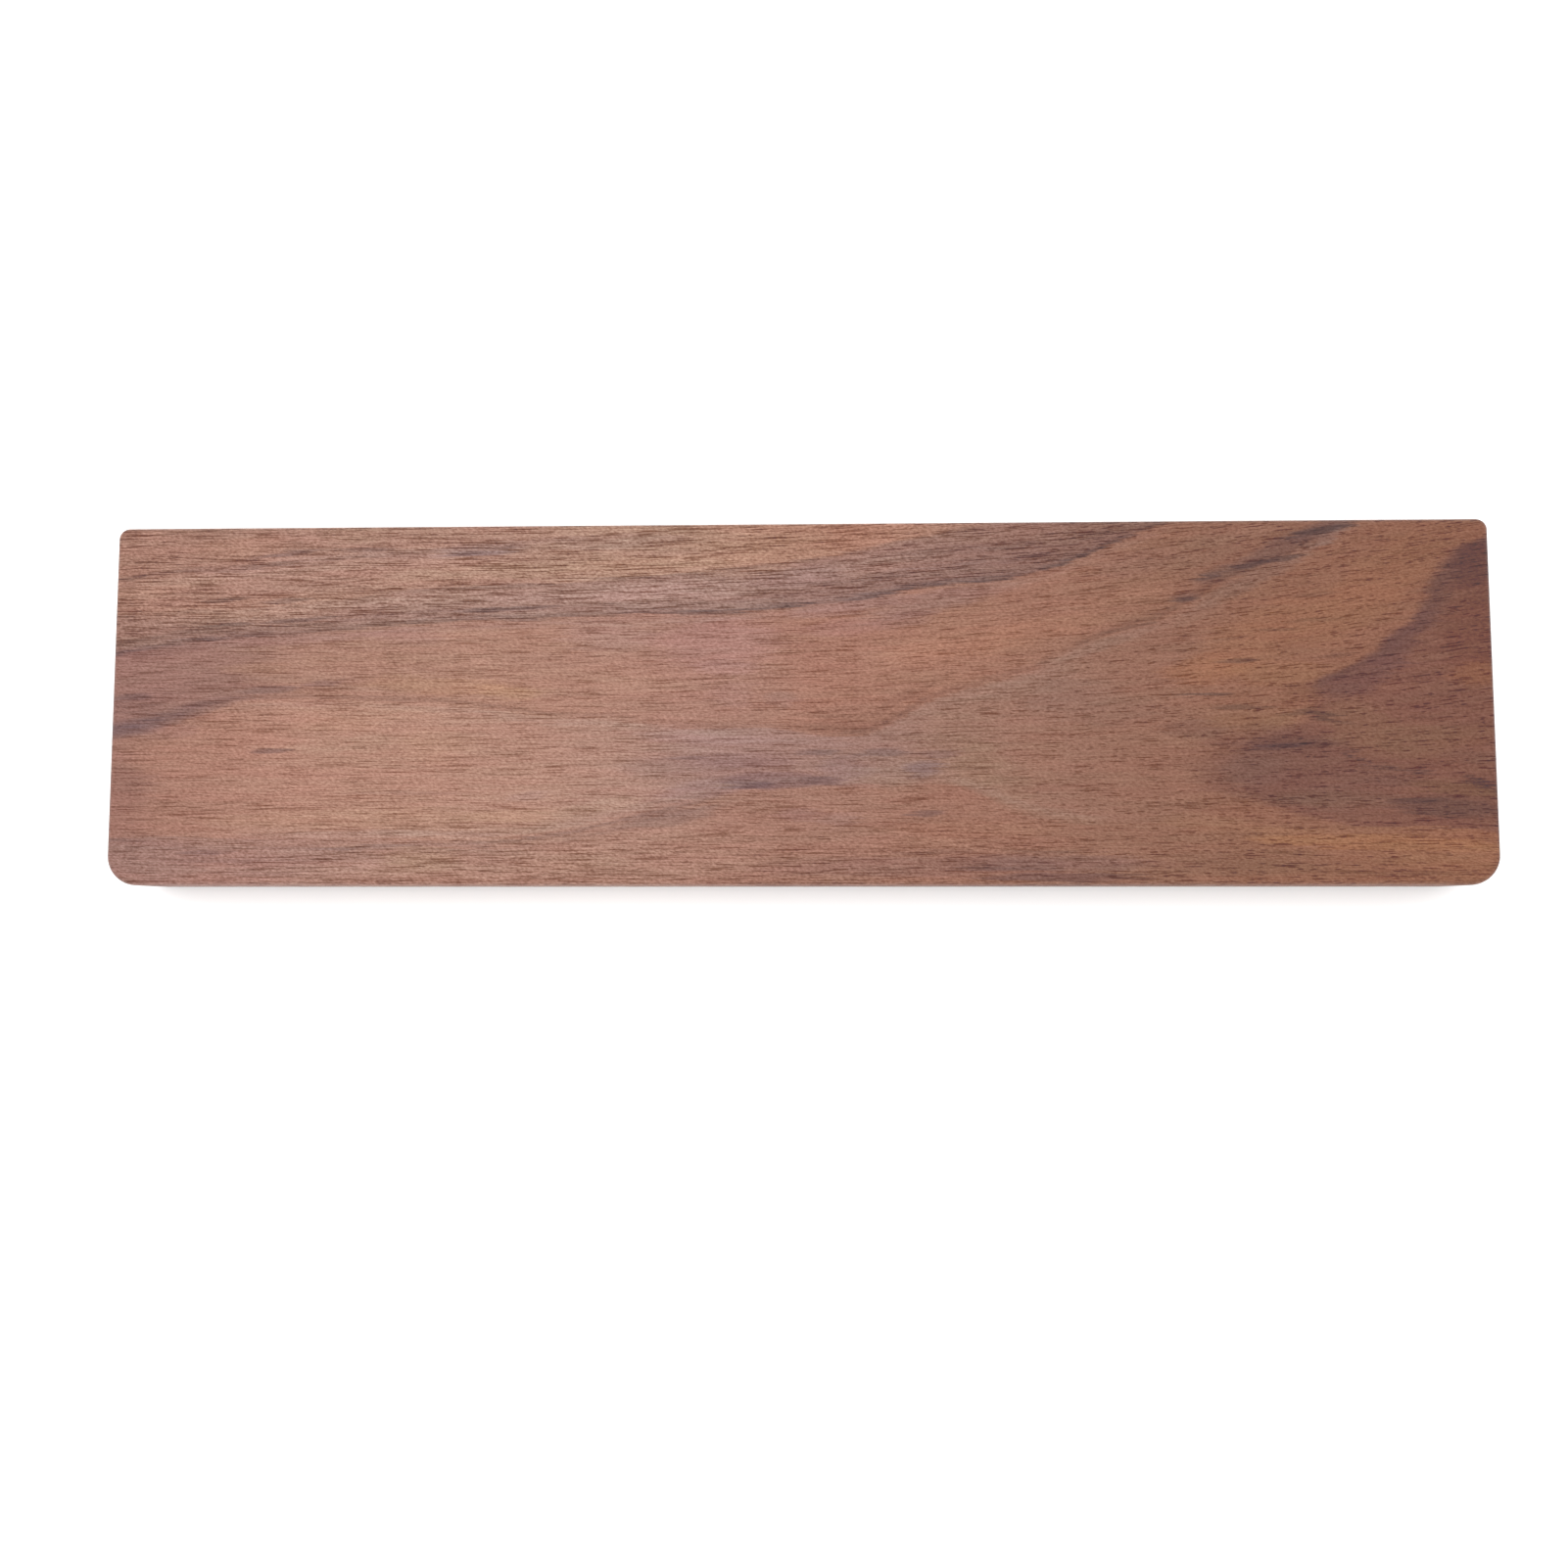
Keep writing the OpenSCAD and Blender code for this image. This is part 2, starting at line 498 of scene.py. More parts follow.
# ---------------------------------------------------------------- walnut figure
# Growth lines as (x, y) stations.
GUIDES = {
    # rear and front edge of the eye, the long oval in the middle of the figure
    "eye_rear": [
        (-160, -11), (-150, -8.0), (-143, -6.6), (-135, -4.4), (-128, -2.0), (-122, 0.2),
        (-115, 1.2), (-95, 0.7), (-80, 0.0), (-68, -1.0), (-55, -2.9), (-42, -3.3), (-30, -5.0),
        (-18, -5.6), (-6, -5.6), (2, -6.6), (9, -7.6), (16, -6.8), (22, -4.2), (30, 0.4),
        (40, 3.4), (50, 6.4), (60, 10.8), (70, 15.2), (80, 18.6), (90, 24.4), (100, 29.0),
        (118, 37.0), (135, 46.0), (160, 60)],
    "eye_front": [
        (-160, -29.4), (-140, -29.6), (-115, -29.7), (-85, -30.2), (-66, -30.4), (-52, -28.6),
        (-40, -26.1), (-30, -23.9), (-20, -21.6), (-10, -19.4), (5, -18.6), (20, -18.6),
        (32, -18.0), (40, -20.6), (48, -23.6), (58, -26.0), (75, -26.8), (100, -27.2),
        (130, -27.0), (160, -27.0)],
    # the dark line behind the middle band
    "dark": [
        (-160, 9.3), (-150, 11.2), (-143, 12.6), (-135, 13.9), (-120, 15.1), (-108, 15.8),
        (-92, 17.4), (-78, 18.4), (-60, 18.6), (-40, 19.7), (-22, 19.6), (-8, 20.6), (4, 21.8),
        (14, 22.7), (24, 24.7), (34, 26.0), (46, 27.2), (54, 29.0), (61, 31.4), (68, 34.6),
        (80, 39.2), (100, 48), (160, 68)],
    "grey_rear": [
        (-160, 19.0), (-133, 20.6), (-118, 21.4), (-106, 22.5), (-95, 23.7), (-75, 25.5),
        (-50, 26.7), (-30, 28.2), (-12, 29.4), (0, 30.8), (10, 32.4), (22, 35.0), (40, 38.4),
        (60, 44), (160, 69)],
    "rear": [
        (-160, 26.6), (-147, 28.2), (-135, 29.7), (-120, 30.6), (-105, 32.1), (-90, 33.1),
        (-70, 34.7), (-50, 36.8), (-20, 38.4), (10, 41.5), (50, 50), (160, 69)],
}
# A curve node covers 0..1, so x and y are scaled by these spans.
FIGURE_LEFT, FIGURE_LENGTH = -160.0, 320.0
GUIDE_LOW, GUIDE_SPAN = -60.0, 130.0

# Bands of colour from front to rear: the guide each starts at (the first has
# none), softness in front of and behind it, and (x, colour) stations.
# The stations darken from the left end to the right: partly the wood's own colour, partly painted
# shade for the light falling off away from the left.
BANDS = [
    (None, 0, 0, [
        (-150, (162, 123, 112)), (-125, (169, 129, 117)), (-80, (174, 134, 118)),
        (-40, (172, 132, 116)), (0, (162, 120, 104)), (40, (157, 113, 96)),
        (75, (149, 108, 90)), (105, (147, 104, 84)), (150, (148, 102, 80))]),
    ("eye_front", 0.7, 0.9, [
        (-150, (156, 114, 101)), (-135, (168, 124, 108)), (-112, (176, 132, 115)),
        (-90, (178, 136, 118)), (-60, (177, 136, 119)), (-40, (174, 135, 120)),
        (-15, (158, 122, 113)), (15, (156, 120, 109)), (35, (155, 118, 102)),
        (50, (154, 114, 98)), (75, (149, 108, 91)), (100, (146, 103, 84)),
        (150, (142, 98, 79))]),
    ("eye_rear", 0.5, 0.5, [
        (-150, (152, 112, 102)), (-125, (156, 117, 105)), (-105, (168, 127, 110)),
        (-60, (172, 130, 112)), (-15, (167, 124, 109)), (10, (165, 119, 101)),
        (30, (163, 118, 99)), (55, (157, 113, 95)), (78, (150, 108, 89)),
        (95, (142, 101, 84)), (150, (140, 98, 80))]),
    ("dark", 0.5, 0.8, [
        (-150, (154, 117, 104)), (-110, (161, 125, 112)), (-60, (166, 131, 119)),
        (-20, (163, 129, 118)), (5, (157, 121, 110)), (25, (154, 118, 107)),
        (50, (145, 109, 98)), (70, (139, 103, 90)), (150, (137, 98, 82))]),
    ("grey_rear", 0.8, 1.0, [
        (-150, (166, 125, 109)), (-115, (171, 131, 116)), (-70, (173, 134, 118)),
        (-30, (176, 140, 121)), (-5, (173, 132, 112)), (20, (175, 131, 112)),
        (40, (167, 126, 110)), (60, (151, 114, 101)), (150, (138, 98, 80))]),
]

# Soft ellipses of colour on the top face: x, y, half length, half width, turn
# in degrees, colour, strength and, where given, the size of the full-strength
# core as a share of the ellipse.
ZONE_CORE = 0.12
ZONES_UPPER = [
    # mostly the rear half
    (-147, 31.6, 8, 5, 10, (147, 107, 90), 0.35), (-146, 37, 9, 2.4, 0, (176, 134, 119), 0.6),
    (-144, 24.4, 9, 2.0, 4, (182, 140, 123), 0.55), (-122, 35, 15, 3.6, 6, (172, 129, 108), 0.6),
    (-128, 38.5, 16, 2.0, 3, (148, 112, 96), 0.5), (-97, 38, 10, 2.4, 0, (162, 131, 108), 0.5),
    (-112, 31.2, 24, 1.5, 6, (180, 144, 133), 0.6), (-82, 33.6, 22, 1.6, 3, (176, 144, 135), 0.55),
    (-68, 33.7, 9, 1.0, 3, (112, 92, 100), 0.85, 0.05), (-68, 34.6, 13, 2.0, 3, (142, 117, 119), 0.5),
    (-40, 35.8, 22, 2.2, 1, (150, 122, 116), 0.5), (-138, 26.6, 18, 1.8, 7, (178, 138, 117), 0.5),
    (-118, 21.8, 32, 3.0, 5, (180, 140, 122), 0.95), (-112, 20.6, 18, 2.4, 5, (184, 146, 130), 0.6),
    (-112, 26.8, 14, 2.0, 3, (146, 114, 98), 0.45), (-66, 29.4, 32, 2.4, 3, (180, 145, 123), 0.55),
    (-30, 31.0, 24, 2.2, 2, (186, 147, 124), 0.6), (-8, 31.4, 8, 3.2, 0, (182, 139, 117), 0.5),
    (8, 35.8, 15, 4.4, 3, (166, 121, 100), 0.6), (13, 37.4, 8, 2.4, 8, (178, 128, 108), 0.5),
    (46, 36.9, 18, 2.6, 4, (166, 129, 115), 0.65), (98, 36.8, 10, 2.0, 6, (160, 118, 101), 0.65),
    (16, 29.6, 12, 2.2, 8, (178, 141, 128), 0.75), (-30, 33.6, 12, 1.6, 2, (158, 121, 106), 0.5),
    (-54, 9.6, 14, 2.8, 0, (160, 117, 102), 0.5), (28, 11, 13, 2.6, 6, (182, 134, 113), 0.6),
    (-34, 4.4, 17, 3.0, -2, (184, 142, 122), 0.5), (26, 3.4, 9, 2.0, 14, (138, 100, 84), 0.4),
    (-10, 29.6, 14, 2.0, 3, (186, 146, 128), 0.55), (-36, 24.4, 34, 1.9, 3, (186, 152, 143), 0.85),
    (-90, 22.6, 28, 1.5, 3, (178, 145, 132), 0.65), (-86, 26.6, 15, 1.8, 3, (184, 144, 126), 0.65),
    (-80, 23.6, 17, 1.9, 3, (190, 154, 140), 0.65), (-25, 23.2, 15, 1.6, 3, (184, 150, 140), 0.7),
    (-136, 18.4, 22, 1.4, 5, (172, 138, 124), 0.6), (2, 27.8, 14, 2.6, 8, (164, 133, 129), 0.55),
    # middle band
    (-137, 7, 22, 8, 3, (152, 112, 103), 0.5), (-139, 12, 18, 1.6, 4, (146, 102, 98), 0.45),
    (-110, 14.2, 18, 1.6, 3, (156, 116, 112), 0.5), (-118, 7.6, 10, 2.0, 2, (170, 125, 101), 0.6),
    (-94, 9.4, 20, 2.6, 0, (168, 127, 107), 0.4), (-86, 15, 12, 2.2, -4, (165, 122, 118), 0.45),
    (-76, 3.8, 24, 2.6, -3, (180, 137, 108), 0.65), (-63, 2.4, 9, 1.8, -8, (188, 145, 114), 0.6),
    (-100, 4.6, 10, 1.6, 4, (150, 112, 98), 0.5), (-40, 14.5, 14, 4.5, 0, (170, 136, 129), 0.6),
    (-17, 13.2, 17, 6.6, 0, (172, 127, 122), 0.72), (-15, 7.6, 10, 2.2, 0, (176, 134, 131), 0.5),
    (-13, 1.5, 5, 3.6, 0, (165, 127, 120), 0.45), (-3, 0.4, 5, 2.2, 0, (148, 117, 110), 0.5),
    (10, 16.4, 11, 2.4, 4, (165, 120, 115), 0.55), (12, 21.2, 17, 2.2, 8, (155, 122, 117), 0.75),
    (0, 14.2, 7, 5.5, 0, (160, 113, 97), 0.45), (9, 8, 13, 6.5, 4, (166, 117, 101), 0.5),
    (23, 17.6, 10, 2.2, 8, (148, 110, 108), 0.5), (30, 21.8, 20, 3.2, 11, (150, 117, 111), 0.9),
    (36, 12.8, 20, 4.8, 12, (170, 121, 99), 0.6), (47, 25.4, 8, 2.0, 14, (160, 116, 99), 0.4),
    (52, 15.0, 20, 3.8, 14, (170, 122, 98), 0.6), (70, 22.8, 15, 1.8, 8, (166, 122, 101), 0.6),
    (74, 30.6, 13, 4.2, 14, (145, 109, 98), 0.5), (69.5, 31.8, 4.5, 1.8, 14, (158, 113, 95), 0.4),
    (88, 32.4, 10, 4.4, 20, (139, 106, 89), 0.6), (15, -3.4, 17, 5.0, 8, (146, 104, 88), 0.8),
    (24, 0.6, 9, 1.6, 22, (128, 86, 72), 0.6), (8, -5.2, 12, 1.2, 0, (128, 86, 70), 0.5),
]
ZONES_EYE = [
    (-128, -9, 22, 9, 6, (170, 124, 106), 0.6), (-147, -19, 8, 7, 0, (143, 103, 94), 0.6),
    (-146, -5.6, 11, 2.6, 9, (136, 106, 104), 0.9), (-136, -6.0, 8, 2.2, 12, (138, 102, 96), 0.5),
    (-20, -10.4, 12, 1.8, 0, (170, 137, 127), 0.45), (-140, -22, 14, 3.0, 0, (152, 110, 94), 0.4),
    (-104, -9.6, 8, 2.2, 0, (176, 141, 121), 0.5), (-92, -8.6, 6, 3.0, 0, (170, 138, 118), 0.5),
    (-90, -2.0, 26, 2.0, 0, (184, 146, 124), 0.45), (-100, -4.6, 12, 2.2, 0, (184, 140, 116), 0.4),
    (-78, -9.5, 9, 5.0, 0, (182, 139, 113), 0.35), (-86, -16.5, 22, 2.6, 0, (182, 137, 121), 0.5),
    (-92, -25.2, 42, 2.8, 0, (181, 143, 120), 0.6), (-57, -20.4, 4.5, 1.2, 0, (172, 136, 132), 0.5),
    (-60, -24.8, 14, 2.0, 4, (188, 152, 126), 0.55), (-44, -23.6, 15, 2.0, 12, (180, 149, 130), 0.7),
    (-92, -28.9, 34, 1.1, 0, (174, 144, 134), 0.65), (-52, -13, 18, 8, 0, (176, 137, 119), 0.3),
    # the middle of the board, where the eye pinches out
    (-18, -7.8, 20, 2.0, -2, (172, 139, 134), 0.8), (5, -8.8, 10, 1.2, -4, (162, 130, 124), 0.6),
    (-24, -13.8, 17, 3.0, 2, (152, 121, 114), 0.6), (-10, -13.2, 12, 2.2, 0, (138, 107, 106), 0.6),
    (-20, -19.2, 13, 2.6, 9, (160, 130, 127), 0.7), (-28, -16.4, 9, 1.6, 0, (164, 134, 120), 0.4),
    (12, -14.6, 7, 3.8, 0, (146, 118, 118), 0.6), (22, -15.4, 10, 4.4, -6, (156, 126, 113), 0.7),
    (28, -15, 6, 2.2, 0, (124, 103, 112), 0.7), (20, -17.6, 9, 1.4, -4, (158, 130, 110), 0.5),
    (40, -14, 6, 7.5, 16, (153, 120, 99), 0.65), (4, -11.2, 6, 1.0, 0, (108, 87, 88), 0.7, 0.1),
    (20, -11.2, 7, 1.1, 0, (108, 86, 86), 0.75, 0.1), (31, -11.6, 6, 1.2, 0, (118, 94, 93), 0.6, 0.1),
    (-4, -17.4, 14, 2.2, 0, (110, 82, 88), 0.75), (-9, -18.6, 8.5, 1.2, -3, (86, 62, 72), 0.85, 0.1),
    (7, -17.6, 6, 1.2, -6, (94, 68, 76), 0.7, 0.1),
    # in front of the eye
    (-142, -34, 22, 5.5, 0, (150, 115, 109), 0.65), (-105, -34.5, 24, 4.0, 0, (165, 130, 123), 0.5),
    (-80, -34.2, 11, 3.6, 0, (163, 133, 108), 0.6), (-62, -34.5, 14, 3.0, 0, (168, 134, 120), 0.45),
    (-47, -34.6, 16, 2.4, 0, (168, 135, 115), 0.5), (-52, -35.8, 14, 1.8, 0, (182, 142, 124), 0.55),
    (-92, -36.6, 26, 1.8, 0, (184, 145, 129), 0.5), (-10, -31, 26, 4.5, 0, (164, 121, 104), 0.45),
    (-28, -25.6, 14, 2.4, 8, (136, 107, 100), 0.8), (1, -24.6, 6, 1.8, 0, (138, 99, 97), 0.6),
    (9, -26, 6, 2.2, 0, (154, 121, 117), 0.5), (27, -24.5, 5, 0.9, 0, (90, 68, 72), 0.75, 0.1),
    (38, -28, 22, 2.8, 0, (161, 116, 94), 0.55), (24, -36, 36, 2.8, 0, (138, 103, 96), 0.65),
    (30, -31.2, 13, 2.0, 0, (176, 131, 112), 0.5), (44, -35, 16, 2.2, 0, (124, 90, 82), 0.5),
    (58, -35.2, 24, 2.6, 0, (132, 102, 98), 0.75), (57, -38.4, 22, 1.2, 0, (92, 70, 74), 0.8),
]
# the right-hand part, where the lines fan out
ZONES_FAN = [
    (50, 3.4, 13, 3.0, 18, (153, 120, 106), 0.6), (60, 1, 12, 5.5, 10, (147, 115, 101), 0.5),
    (56, 1.4, 10, 4.0, 12, (136, 102, 90), 0.45), (66, 12.0, 18, 1.6, 18, (152, 120, 106), 0.6),
    (80, 13, 10, 4.0, 14, (140, 101, 84), 0.5), (110, 2, 7, 2.6, 8, (118, 80, 62), 0.55),
    (70, -2, 13, 4.5, 0, (140, 104, 90), 0.65), (86, -6.5, 9, 2.6, 0, (126, 93, 80), 0.75),
    (46, -19, 6, 5.5, -30, (152, 120, 100), 0.5), (56, -25, 12, 1.6, -8, (154, 123, 104), 0.6),
    (52, -12, 8, 8, 0, (158, 116, 97), 0.4), (88, -26.5, 14, 2.2, -4, (158, 116, 92), 0.55),
    (100, 14, 22, 7.5, 28, (158, 110, 84), 0.6), (124, 24, 24, 7.5, 38, (156, 109, 84), 0.75),
    (88, 6.4, 11, 4.0, 8, (160, 110, 83), 0.65), (103, 6, 14, 3.5, 0, (154, 109, 81), 0.55),
    (133, 32, 16, 5.0, 24, (136, 95, 75), 0.6), (104, 33, 12, 2.6, 24, (112, 84, 79), 0.7),
    (95, 28.4, 10, 2.2, 20, (116, 87, 79), 0.7), (115, 37.4, 10, 2.0, 18, (104, 78, 76), 0.75),
    (86, 22.8, 5, 1.4, 6, (110, 80, 74), 0.7), (101, 27.6, 20, 2.2, 29, (137, 106, 95), 0.65),
    (116, 36.0, 8, 1.6, 29, (134, 106, 98), 0.7), (89, 19.8, 9, 2.0, 24, (142, 109, 93), 0.45),
    (98, -4.6, 12, 2.6, 0, (135, 101, 76), 0.5),
]
# the right-hand end, over the dark arrow
ZONES_POINT = [
    (103, -14.2, 23, 10.5, 0, (122, 85, 75), 0.95, 0.1), (98, -15.4, 9, 4.5, 0, (128, 96, 86), 0.5),
    (108, -9.2, 14, 1.8, 2, (104, 74, 67), 0.65), (116, -21.4, 17, 3.0, 0, (128, 97, 84), 0.7),
    (140, -23.4, 16, 2.8, -2, (102, 74, 68), 0.8), (141, -19.2, 14, 1.8, -6, (118, 86, 66), 0.7),
    (124, -17.2, 12, 2.6, -6, (118, 84, 76), 0.6), (121, -5.6, 11, 6.8, -22, (135, 99, 80), 0.85),
    (133, -8.8, 13, 5.2, -6, (134, 98, 79), 0.8), (145, -7.6, 8, 3.0, 0, (132, 93, 75), 0.7),
    (145, -12.6, 8, 2.4, 0, (125, 92, 78), 0.5), (122, 4.4, 11, 3.6, 24, (112, 79, 76), 0.7),
    (131, 12.6, 13, 3.6, 46, (112, 78, 74), 0.65), (146, 13, 9, 13, 0, (119, 76, 63), 0.85),
    (146, 5.4, 7.5, 3.6, 0, (143, 97, 74), 0.85), (146.5, 29.8, 8, 4.6, 38, (96, 62, 56), 0.9, 0.4),
    (143, 20, 10, 9, 0, (110, 74, 60), 0.3), (124, -30.8, 29, 1.9, -2.2, (164, 116, 86), 0.95, 0.5),
    (108, -28.6, 14, 1.4, -4, (158, 114, 88), 0.6), (137, -34.2, 18, 3.6, -2, (156, 111, 86), 0.6),
    (96, -35, 22, 3.6, 0, (132, 96, 79), 0.6),
]
# thin dashes, in the same columns
DASHES = [
    (-114.5, -10.7, 5, 0.6, 3, (112, 84, 82), 0.8), (-22, -12.3, 6, 0.5, 0, (116, 90, 90), 0.6),
    (-112, 33.4, 12, 0.7, 5, (104, 78, 78), 0.7), (-95, 34.4, 9, 0.7, 2, (110, 84, 80), 0.7),
    (-126, 23.2, 6, 0.6, 3, (96, 72, 64), 0.7), (-110, 23.3, 8, 0.6, 3, (104, 80, 74), 0.7),
    (-125, 17.8, 8, 0.5, 3, (96, 76, 72), 0.7), (-108, 18.9, 9, 0.6, 4, (100, 80, 78), 0.7),
    (-63, 20.9, 14, 0.5, 3, (98, 78, 78), 0.7), (-86, -19.9, 18, 0.45, 0, (150, 110, 98), 0.6),
    (-92, -31.6, 16, 0.5, 2, (124, 96, 94), 0.6), (-128, -32.8, 6, 0.6, 0, (100, 76, 78), 0.6),
    (-115, 3.2, 9, 1.0, 2, (106, 80, 80), 0.65), (-146, 1.6, 5, 1.2, 0, (102, 74, 76), 0.7),
    (-128, 0.4, 9, 0.9, 10, (118, 84, 80), 0.6), (-103, 4.6, 5, 0.6, 0, (130, 94, 92), 0.6),
    (88, 1.2, 8, 0.6, 1, (92, 72, 66), 0.85), (96, -1.6, 9, 0.6, 0, (96, 68, 58), 0.75),
    (113, -3.6, 7, 1.0, -14, (84, 60, 52), 0.8), (107, -3.2, 4, 0.6, 0, (90, 64, 54), 0.6),
    (95, 8.6, 6, 0.6, 4, (96, 70, 62), 0.7), (104, 15.6, 6, 0.5, 3, (104, 74, 60), 0.6),
    (116, 9.6, 6, 0.6, 4, (96, 66, 54), 0.6), (112, 23.0, 7, 0.6, 4, (112, 80, 64), 0.5),
    (94, 13.4, 6, 0.5, 6, (112, 82, 70), 0.4), (112, 17.6, 8, 0.5, 2, (112, 80, 62), 0.5),
    (91, 27.2, 4, 0.9, 8, (78, 58, 60), 0.75), (99, 29.6, 6, 1.0, 14, (78, 58, 60), 0.75),
    (105, 31.0, 5, 0.9, 10, (74, 54, 56), 0.8), (114, 37.0, 8, 1.0, 10, (76, 58, 60), 0.8),
    (85, 22.3, 4, 0.7, 5, (82, 60, 58), 0.75), (103, -10.0, 9, 0.7, 3, (80, 58, 62), 0.7),
    (130, -15.4, 9, 0.7, -10, (90, 66, 62), 0.8), (145, -18.2, 7, 0.9, -18, (78, 54, 50), 0.85),
    (120, -12.4, 5, 0.7, -35, (88, 62, 60), 0.8), (133, -21.8, 9, 0.7, 0, (88, 64, 62), 0.7),
    (72, 16.0, 8, 0.6, 14, (108, 78, 66), 0.7), (44, -36.6, 16, 0.6, 0, (96, 72, 72), 0.6),
    (52, -32.8, 12, 0.5, 0, (120, 90, 80), 0.6), (30, -33.0, 12, 0.5, 0, (122, 90, 80), 0.5),
    (-120, -34.4, 24, 0.6, 1, (112, 84, 80), 0.35), (-115, -37.2, 20, 0.5, -1.5, (116, 86, 82), 0.25),
    (128, -37.4, 22, 0.6, 0, (94, 64, 54), 0.3),
]

# Left boundary of the dark arrow at the right-hand end, as (y, x): from the
# rear corner down to a point and back out.
ARROW_EDGE = [
    (-50, 160), (-30, 154), (-27.2, 122), (-25, 108), (-22, 101), (-18, 96.5), (-13, 95),
    (-9, 97.5), (-6, 106), (-3, 110.5), (0, 111.5), (3, 112), (5, 114.5), (7.5, 119.5),
    (10, 124.5), (13, 128.5), (17, 132.5), (21, 135.0), (25, 137.0), (29, 139.8), (33, 144),
    (37, 151), (50, 162)]
ARROW_Y_LOW, ARROW_X_LOW, ARROW_SPAN = -50, 70.0, 100.0

# Streaks along the growth lines: guide, offset from it in y, fade in front and
# behind, colour, how far the strands break it up, and (x, strength) stations.
STREAK_GAIN = 0.62
STREAKS = [
    # the wedge at the left end and the line it thins into
    ("eye_rear", 2.2, 2.8, 2.6, (88, 68, 76), 0.35, [
        (-160, 1.0), (-146, 1.0), (-136, 0.9), (-129, 0.5), (-122, 0.15), (-115, 0.0), (160, 0)]),
    ("eye_rear", 5.2, 2.6, 6.0, (120, 88, 86), 0.6, [
        (-160, 0.8), (-146, 0.75), (-136, 0.38), (-122, 0.15), (-110, 0.05), (-100, 0.0),
        (160, 0)]),
    ("eye_rear", 0.5, 0.5, 0.9, (118, 84, 74), 0.4, [
        (-160, 0), (-122, 0.2), (-112, 0.55), (-80, 0.75), (-60, 0.65), (-40, 0.55),
        (-15, 0.45), (0, 0.3), (160, 0.1)]),
    ("eye_rear", -1.1, 1.8, 1.0, (172, 142, 129), 0.45, [
        (-160, 0), (-126, 0.1), (-115, 0.45), (-95, 0.45), (-70, 0.7), (-45, 0.75), (-28, 0.8),
        (-10, 0.6), (8, 0.35), (20, 0.25), (32, 0.15), (60, 0.1), (95, 0.1), (160, 0.0)]),
    ("eye_rear", -1.6, 3.2, 1.8, (158, 127, 114), 0.7, [
        (-160, 0), (8, 0.0), (20, 0.4), (40, 0.45), (70, 0.3), (82, 0.3), (95, 0.2),
        (160, 0.0)]),
    ("eye_rear", 0.7, 0.8, 1.6, (100, 68, 58), 0.45, [
        (-160, 0), (0, 0.0), (8, 0.35), (16, 0.7), (28, 0.7), (36, 0.45), (55, 0.5), (66, 0.8),
        (80, 0.8), (90, 0.5), (120, 0.4), (160, 0.3)]),
    # the dark line along the middle band, and the grey wood behind it
    ("dark", 0.2, 1.4, 2.0, (106, 86, 88), 0.5, [
        (-160, 0.75), (-140, 0.8), (-118, 0.75), (-100, 0.4), (-85, 0.55), (-60, 0.45),
        (-35, 0.6), (0, 0.75), (30, 0.9), (60, 0.75), (75, 0.6), (160, 0.4)]),
    ("dark", 0.0, 0.7, 0.8, (62, 48, 52), 0.6, [
        (-160, 0.5), (-148, 0.6), (-120, 0.55), (-105, 0.35), (-90, 0.4), (-78, 0.85),
        (-60, 0.5), (-45, 0.75), (-30, 0.95), (-15, 0.95), (20, 1.0), (60, 0.95), (80, 0.7),
        (160, 0.4)]),
    ("dark", -1.4, 1.6, 1.0, (160, 129, 126), 0.5, [
        (-160, 0.1), (-110, 0.3), (-70, 0.55), (-30, 0.55), (0, 0.4), (30, 0.3), (60, 0.3),
        (160, 0)]),
    ("dark", 3.6, 1.6, 2.6, (108, 86, 86), 0.9, [
        (-160, 0), (-100, 0.0), (-10, 0.1), (10, 0.6), (40, 0.7), (60, 0.45), (160, 0)]),
    ("dark", 2.0, 0.6, 0.8, (104, 82, 80), 0.5, [
        (-160, 0.3), (-130, 0.6), (-100, 0.5), (-70, 0.6), (-40, 0.35), (-20, 0.45), (0, 0.5),
        (160, 0.2)]),
    ("dark", 7.0, 1.5, 2.2, (112, 90, 86), 0.9, [
        (-160, 0), (0, 0.0), (20, 0.5), (40, 0.6), (60, 0.3), (160, 0)]),
    ("grey_rear", 0.0, 0.55, 0.7, (96, 74, 68), 0.4, [
        (-160, 0.2), (-133, 0.25), (-110, 0.25), (-95, 0.35), (-60, 0.65), (-30, 0.75),
        (-5, 0.75), (10, 0.5), (35, 0.3), (160, 0)]),
    ("rear", 0.0, 0.8, 1.0, (98, 74, 70), 0.5, [
        (-160, 0.7), (-140, 0.75), (-115, 0.8), (-95, 0.7), (-80, 0.25), (-50, 0.3),
        (-20, 0.1), (160, 0)]),
    ("rear", -1.9, 1.4, 1.2, (182, 148, 134), 0.3, [
        (-160, 0.3), (-140, 0.55), (-110, 0.7), (-85, 0.5), (-50, 0.3), (0, 0), (160, 0)]),
    # the front edge of the eye
    ("eye_front", -0.3, 0.9, 0.6, (102, 78, 76), 0.35, [
        (-160, 0.9), (-138, 0.7), (-118, 0.35), (-95, 0.45), (-75, 0.65), (-50, 0.85),
        (-36, 0.85), (-20, 0.6), (-8, 0.2), (20, 0.0), (160, 0.0)]),
    ("eye_front", 1.4, 1.2, 1.6, (166, 138, 124), 0.35, [
        (-160, 0), (-125, 0.2), (-105, 0.5), (-70, 0.55), (-50, 0.8), (-30, 0.85), (-12, 0.5),
        (5, 0.1), (28, 0.1), (36, 0.4), (50, 0.45), (64, 0.3), (80, 0.1), (160, 0)]),
    ("eye_front", -2.0, 1.2, 1.0, (126, 98, 92), 0.7, [
        (-160, 0.3), (-110, 0.5), (-80, 0.6), (-55, 0.4), (-30, 0.6), (-15, 0.3), (0, 0.1),
        (160, 0)]),
]

